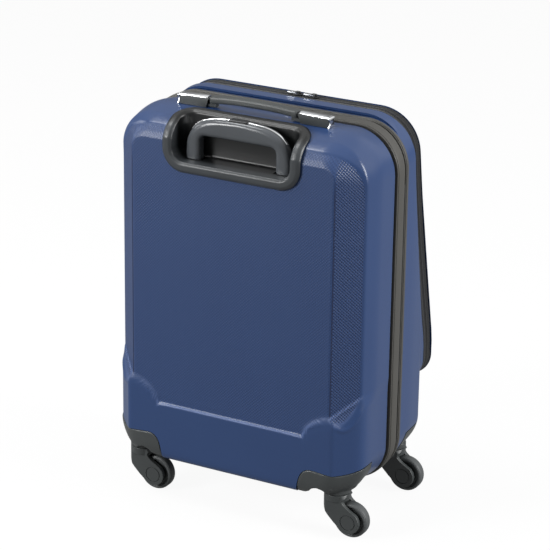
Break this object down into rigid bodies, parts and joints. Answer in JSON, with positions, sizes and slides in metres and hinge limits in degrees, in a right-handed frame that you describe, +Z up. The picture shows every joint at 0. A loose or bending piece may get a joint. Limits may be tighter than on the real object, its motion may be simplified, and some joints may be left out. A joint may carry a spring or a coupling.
{
  "type": "hard shell suitcase on wheels",
  "caption": "Upright cabin suitcase with zipped hard shell halves, a zipped front pocket, a telescopic trolley handle, a carry handle and swivelling casters.",
  "frame": {"origin": "on the floor under the middle of the case", "axes": "+Z up, +Y towards the back where the trolley is, +X towards the side with the zip sliders; the lid's hinge is on the -X side"},
  "size_m": [0.354, 0.2342, 0.51],
  "materials": {
    "shell": "satin, fine grained, dark blue",
    "piping": "matt",
    "zip_cloth": "woven",
    "lining": "woven",
    "tube": "satin",
    "bezel": "satin",
    "black_plastic": "satin",
    "chrome": "polished",
    "dark_plastic": "satin",
    "tyre": "matt",
    "steel": "satin"
  },
  "bodies": {
    "back_half": {"back_shell": "shell", "handle_cup": "bezel", "outer_tube_left": "tube", "outer_tube_right": "tube", "tube_foot": "dark_plastic", "handle_cap_left": "dark_plastic", "handle_cap_right": "dark_plastic", "handle_trim_left": "chrome", "handle_trim_right": "chrome", "closure_band": "piping", "back_zip_tape": "zip_cloth", "hinge_tape": "piping", "back_lining": "lining", "rear_housing_left": "dark_plastic", "rear_housing_right": "dark_plastic"},
    "middle_tubes": {"middle_tube_left": "tube", "middle_tube_right": "tube"},
    "trolley": {"inner_tube_left": "tube", "inner_tube_right": "tube", "trolley_grip": "bezel", "grip_trim_left": "chrome", "grip_trim_right": "chrome"},
    "release_button": {"release_button": "black_plastic"},
    "carry_grip": {"carry_grip": "dark_plastic"},
    "front_half": {"front_piping": "piping", "front_zip_tape": "zip_cloth", "front_shell": "shell", "front_housing_left": "dark_plastic", "front_housing_right": "dark_plastic", "pocket_liner": "lining", "pocket_zip_tape": "zip_cloth", "pocket_gusset_left": "zip_cloth", "pocket_gusset_right": "zip_cloth", "pocket_hinge_tape": "zip_cloth"},
    "pocket_door": {"pocket_door": "shell", "door_zip_tape": "zip_cloth"},
    "pocket_slider_left": {"pocket_slider_left": "black_plastic"},
    "pocket_slider_right": {"pocket_slider_right": "black_plastic"},
    "pocket_pull_left": {"pocket_pull_left": "chrome"},
    "pocket_pull_right": {"pocket_pull_right": "chrome"},
    "main_slider_upper": {"main_slider_upper": "black_plastic"},
    "main_slider_lower": {"main_slider_lower": "black_plastic"},
    "main_pull_upper": {"main_pull_upper": "chrome"},
    "main_pull_lower": {"main_pull_lower": "chrome"},
    "caster_rear_left": {"fork_rear_left": "dark_plastic", "axle_rear_left": "steel"},
    "wheel_rear_left": {"tyre_rear_left": "tyre", "hub_rear_left": "dark_plastic"},
    "caster_rear_right": {"fork_rear_right": "dark_plastic", "axle_rear_right": "steel"},
    "wheel_rear_right": {"tyre_rear_right": "tyre", "hub_rear_right": "dark_plastic"},
    "caster_front_left": {"fork_front_left": "dark_plastic", "axle_front_left": "steel"},
    "wheel_front_left": {"tyre_front_left": "tyre", "hub_front_left": "dark_plastic"},
    "caster_front_right": {"fork_front_right": "dark_plastic", "axle_front_right": "steel"},
    "wheel_front_right": {"tyre_front_right": "tyre", "hub_front_right": "dark_plastic"}
  },
  "joints": [
    {"name": "lid_hinge", "type": "hinge", "parent": "back_half", "child": "front_half", "pos_m": [-0.1693, -0.0055, 0.29], "axis": [0, 0, -1], "range_deg": [0, 180]},
    {"name": "trolley_lower_slide", "type": "slide", "parent": "back_half", "child": "middle_tubes", "axis": [0, 0, 1], "range_m": [0, 0.25]},
    {"name": "trolley_upper_slide", "type": "slide", "parent": "middle_tubes", "child": "trolley", "axis": [0, 0, 1], "range_m": [0, 0.25]},
    {"name": "release_button_slide", "type": "slide", "parent": "trolley", "child": "release_button", "axis": [0, 0, -1], "range_m": [0, 0.0025], "stiffness_N_per_m": 400, "springref_m": -0.001},
    {"name": "carry_grip_lift", "type": "slide", "parent": "back_half", "child": "carry_grip", "axis": [0, 0, 1], "range_m": [0, 0.0045], "stiffness_N_per_m": 300, "springref_m": -0.002},
    {"name": "pocket_hinge", "type": "hinge", "parent": "front_half", "child": "pocket_door", "pos_m": [0, -0.109, 0.1377], "axis": [1, 0, 0], "range_deg": [0, 45], "deforming": ["pocket_gusset_left", "pocket_gusset_right"]},
    {"name": "pocket_slider_left_run", "type": "slide", "parent": "front_half", "child": "pocket_slider_left", "axis": [1, 0, 0], "range_m": [0, 0.1]},
    {"name": "pocket_pull_left_hinge", "type": "hinge", "parent": "pocket_slider_left", "child": "pocket_pull_left", "pos_m": [-0.003, -0.0456, 0.49495], "axis": [0, -1, 0], "range_deg": [0, 150]},
    {"name": "pocket_slider_right_run", "type": "slide", "parent": "front_half", "child": "pocket_slider_right", "axis": [-1, 0, 0], "range_m": [0, 0.075]},
    {"name": "pocket_pull_right_hinge", "type": "hinge", "parent": "pocket_slider_right", "child": "pocket_pull_right", "pos_m": [-0.025, -0.0456, 0.49495], "axis": [0, -1, 0], "range_deg": [0, 150]},
    {"name": "main_slider_upper_run", "type": "slide", "parent": "back_half", "child": "main_slider_upper", "axis": [0, 0, 1], "range_m": [0, 0.11]},
    {"name": "main_pull_upper_hinge", "type": "hinge", "parent": "main_slider_upper", "child": "main_pull_upper", "pos_m": [0.16965, -0.0055, 0.311], "axis": [0, -1, 0], "range_deg": [0, 150]},
    {"name": "main_slider_lower_run", "type": "slide", "parent": "back_half", "child": "main_slider_lower", "axis": [0, 0, -1], "range_m": [0, 0.18]},
    {"name": "main_pull_lower_hinge", "type": "hinge", "parent": "main_slider_lower", "child": "main_pull_lower", "pos_m": [0.16965, -0.0055, 0.289], "axis": [0, -1, 0], "range_deg": [0, 150]},
    {"name": "caster_rear_left_swivel", "type": "hinge", "parent": "back_half", "child": "caster_rear_left", "pos_m": [0.135, 0.086, 0.06], "axis": [0, 0, 1], "continuous": true},
    {"name": "wheel_rear_left_spin", "type": "hinge", "parent": "caster_rear_left", "child": "wheel_rear_left", "pos_m": [0.115, 0.086, 0.022], "axis": [0, 1, 0], "continuous": true},
    {"name": "caster_rear_right_swivel", "type": "hinge", "parent": "back_half", "child": "caster_rear_right", "pos_m": [-0.135, 0.086, 0.06], "axis": [0, 0, 1], "continuous": true},
    {"name": "wheel_rear_right_spin", "type": "hinge", "parent": "caster_rear_right", "child": "wheel_rear_right", "pos_m": [-0.155, 0.086, 0.022], "axis": [0, 1, 0], "continuous": true},
    {"name": "caster_front_left_swivel", "type": "hinge", "parent": "front_half", "child": "caster_front_left", "pos_m": [0.135, -0.0643, 0.06], "axis": [0, 0, 1], "continuous": true},
    {"name": "wheel_front_left_spin", "type": "hinge", "parent": "caster_front_left", "child": "wheel_front_left", "pos_m": [0.155, -0.0643, 0.022], "axis": [0, 1, 0], "continuous": true},
    {"name": "caster_front_right_swivel", "type": "hinge", "parent": "front_half", "child": "caster_front_right", "pos_m": [-0.135, -0.0643, 0.06], "axis": [0, 0, 1], "continuous": true},
    {"name": "wheel_front_right_spin", "type": "hinge", "parent": "caster_front_right", "child": "wheel_front_right", "pos_m": [-0.155, -0.0643, 0.022], "axis": [0, 1, 0], "continuous": true}
  ],
  "couplings": [
    {"joint": "trolley_upper_slide", "follows": "trolley_lower_slide", "ratio": 1}
  ]
}
